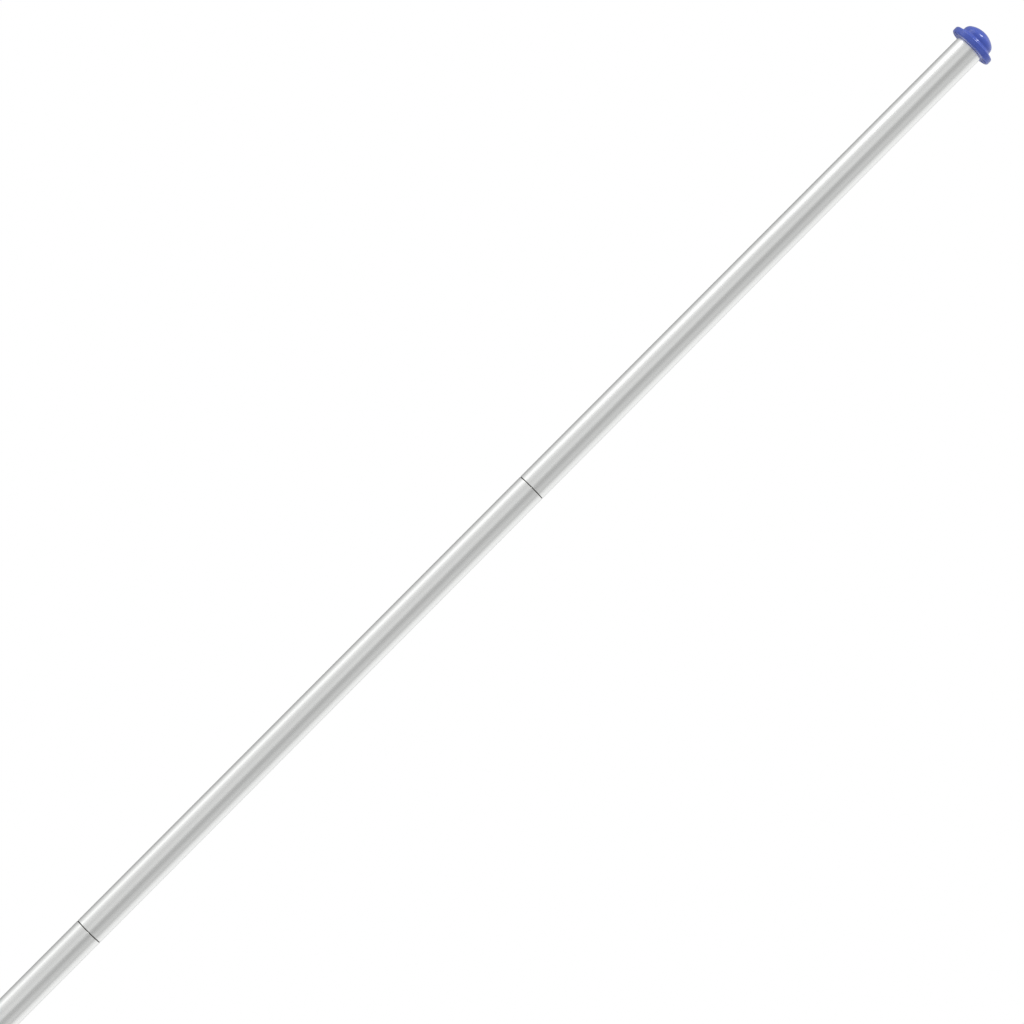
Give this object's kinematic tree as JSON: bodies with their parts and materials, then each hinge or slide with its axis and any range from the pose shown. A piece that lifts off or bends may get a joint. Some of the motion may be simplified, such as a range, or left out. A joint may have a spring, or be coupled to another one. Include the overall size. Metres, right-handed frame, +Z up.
{
  "type": "sectional flagpole",
  "caption": "Sectional aluminium flagpole in a ground sleeve, with a domed rope cap, a cleat, and a tied halyard hank with snap hooks.",
  "frame": {"origin": "centre of the flat foot of the ground sleeve's end plug", "axes": "+Z up along the pole; +X towards the cleat and the halyard hank; the cap's two rope slots are at +X and -X"},
  "size_m": [0.1149, 0.105, 6.1445],
  "materials": {
    "pole_aluminium": "satin mill finish, drawn along the tube",
    "sleeve_plastic": "smooth gloss",
    "plug_plastic": "pale, slightly translucent",
    "cap_plastic": "smooth gloss moulding",
    "cleat_metal": "grey satin casting",
    "screw_steel": "bright zinc plate",
    "hook_metal": "polished zinc plate",
    "rope": "white braid"
  },
  "bodies": {
    "root": {"ground_sleeve": "sleeve_plastic", "sleeve_end_plug": "plug_plastic"},
    "pole": {"truck_cap": "cap_plastic", "cleat": "cleat_metal", "cleat_screw_upper": "screw_steel", "cleat_screw_lower": "screw_steel", "cap_screw": "screw_steel", "rope_hank": "rope", "rope_hook_loop": "rope", "rope_bight": "rope", "rope_tail": "rope", "pole_section_1": "pole_aluminium", "pole_section_2": "pole_aluminium", "pole_section_3": "pole_aluminium", "pole_section_4": "pole_aluminium", "pole_section_5": "pole_aluminium", "pole_section_6": "pole_aluminium", "hook_1_frame": "hook_metal", "hook_1_rivet": "hook_metal", "hook_2_frame": "hook_metal", "hook_2_rivet": "hook_metal"},
    "hook_1_gate": {"hook_1_gate": "hook_metal"},
    "hook_2_gate": {"hook_2_gate": "hook_metal"}
  },
  "joints": [
    {"name": "pole_lift", "type": "slide", "parent": "root", "child": "pole", "axis": [0, 0, 1], "range_m": [0, 0.79]},
    {"name": "hook_1_gate_hinge", "type": "hinge", "parent": "pole", "child": "hook_1_gate", "pos_m": [0.0506, 0.04942, 1.68627], "axis": [1, 0, 0], "range_deg": [0, 26], "stiffness_Nm_per_rad": 0.05, "springref_deg": -17.19},
    {"name": "hook_2_gate_hinge", "type": "hinge", "parent": "pole", "child": "hook_2_gate", "pos_m": [0.0506, -0.04942, 1.68627], "axis": [-1, 0, 0], "range_deg": [0, 26], "stiffness_Nm_per_rad": 0.05, "springref_deg": -17.19}
  ]
}
